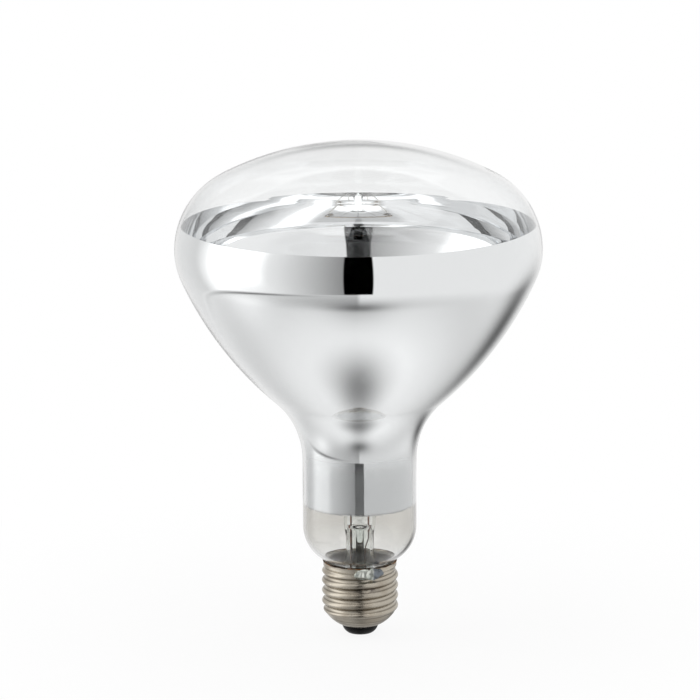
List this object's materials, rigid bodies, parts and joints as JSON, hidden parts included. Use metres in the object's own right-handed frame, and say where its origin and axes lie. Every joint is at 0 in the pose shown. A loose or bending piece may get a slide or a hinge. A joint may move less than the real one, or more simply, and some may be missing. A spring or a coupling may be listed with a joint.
{
  "type": "infrared heat lamp bulb",
  "caption": "Infrared heat lamp bulb with a clear domed front, a mirrored reflector cone, a clear neck showing the glass stem, and an Edison screw cap",
  "frame": {"origin": "Tip of the centre contact, on the lamp's axis, which is where the screw cap seats in its holder.", "axes": "+Z runs along the lamp's axis from the cap to the domed front. -Y is the side where the side lead is soldered to the cap, towards the picture's camera. +X is to the right in that view."},
  "size_m": [0.125, 0.125, 0.1727],
  "materials": {
    "bulb_glass": "clear blown glass, about 1 mm thick",
    "mirror_film": "bright evaporated metal film on the inside of the glass",
    "cap_metal": "thin rolled sheet, bright with fine marks",
    "black_glass": "opaque black insulating glass",
    "contact_metal": "pressed brass plate with an eyelet",
    "solder": "dull grey solder",
    "cement": "baked basing cement, dark grey brown",
    "stem_glass": "clear tube and rod glass",
    "seal_wire": "copper-clad seal wire",
    "copper_lead": "copper wire browned by heat",
    "nickel_lead": "drawn nickel wire and strip",
    "tungsten": "grey coiled tungsten wire",
    "support_metal": "drawn molybdenum wire"
  },
  "bodies": {
    "root": {"glass_envelope": "bulb_glass", "mirror_coating": "mirror_film", "screw_shell": "cap_metal", "base_insulator": "black_glass", "centre_contact": "contact_metal", "centre_solder": "solder", "side_solder": "solder", "basing_cement": "cement", "glass_stem": "stem_glass", "exhaust_tube": "stem_glass", "arbor_rod": "stem_glass", "seal_wire_centre": "seal_wire", "seal_wire_side": "seal_wire", "centre_lead": "copper_lead", "side_lead": "copper_lead", "inner_lead_centre": "nickel_lead", "inner_lead_side": "nickel_lead", "filament_clamp_centre": "nickel_lead", "filament_clamp_side": "nickel_lead", "filament": "tungsten", "support_wire_1": "support_metal", "support_wire_2": "support_metal", "support_wire_3": "support_metal", "support_wire_4": "support_metal", "support_wire_5": "support_metal"}
  },
  "joints": []
}
